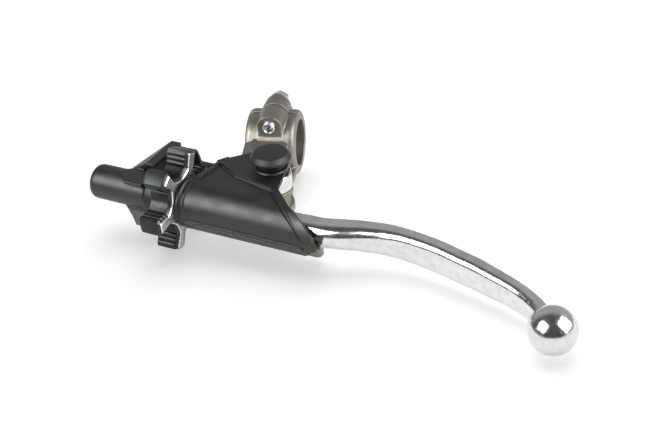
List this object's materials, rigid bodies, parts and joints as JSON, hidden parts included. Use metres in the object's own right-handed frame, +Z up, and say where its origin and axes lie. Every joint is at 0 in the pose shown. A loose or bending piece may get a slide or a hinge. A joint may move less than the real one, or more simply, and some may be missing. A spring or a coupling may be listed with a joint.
{
  "type": "motorcycle clutch lever and perch",
  "caption": "Left-hand clutch lever on a cast bar clamp, with a star-wheel cable adjuster, rubber dust covers and a ball-ended polished blade.",
  "frame": {"origin": "on the handlebar's axis at mid-width of the bar clamp", "axes": "+X along the handlebar towards the lever's ball end, +Y towards the rider, +Z up along the lever's pivot"},
  "size_m": [0.2226, 0.1611, 0.044],
  "materials": {
    "cast_alloy": "raw pressure-cast, matte with fine grain",
    "lever_alloy": "polished, satin on the upper face",
    "wheel_alloy": "dark grey anodised, satin",
    "turned_alloy": "turned, satin",
    "zinc_steel": "zinc plated, satin",
    "spring_steel": "bare, satin",
    "bronze": "bare, satin",
    "black_rubber": "matte moulded"
  },
  "bodies": {
    "perch": {"perch_body": "cast_alloy", "clamp_holder": "cast_alloy", "clamp_bolt_upper": "zinc_steel", "clamp_bolt_lower": "zinc_steel", "pivot_bolt": "zinc_steel", "pivot_washer": "zinc_steel", "pivot_nut": "zinc_steel", "pivot_bush": "bronze", "boot": "black_rubber", "lever_stop": "black_rubber", "pivot_cap": "black_rubber", "cable_sleeve": "black_rubber", "guide_pin": "spring_steel", "detent_ball": "spring_steel", "detent_spring": "spring_steel"},
    "lever_arm": {"lever": "lever_alloy"},
    "nipple": {"cable_nipple": "zinc_steel"},
    "wheel": {"star_wheel": "wheel_alloy"},
    "barrel": {"adjuster_barrel": "turned_alloy", "cable_cup": "turned_alloy"}
  },
  "joints": [
    {"name": "lever_pivot", "type": "hinge", "parent": "perch", "child": "lever_arm", "pos_m": [0.009, -0.044, 0], "axis": [0, 0, 1], "range_deg": [0, 30]},
    {"name": "nipple_turn", "type": "hinge", "parent": "lever_arm", "child": "nipple", "pos_m": [-0.00239, -0.06376, 0], "axis": [0, 0, 1], "range_deg": [-35, 35]},
    {"name": "wheel_turn", "type": "hinge", "parent": "perch", "child": "wheel", "pos_m": [0, -0.0645, 0], "axis": [0.9556, -0.2947, 0], "range_deg": [-720, 720]},
    {"name": "barrel_slide", "type": "slide", "parent": "perch", "child": "barrel", "axis": [0.9556, -0.2947, 0], "range_m": [-0.0026, 0.0026]}
  ],
  "couplings": [
    {"joint": "barrel_slide", "follows": "wheel_turn", "m_per_rad": -0.00019894}
  ]
}
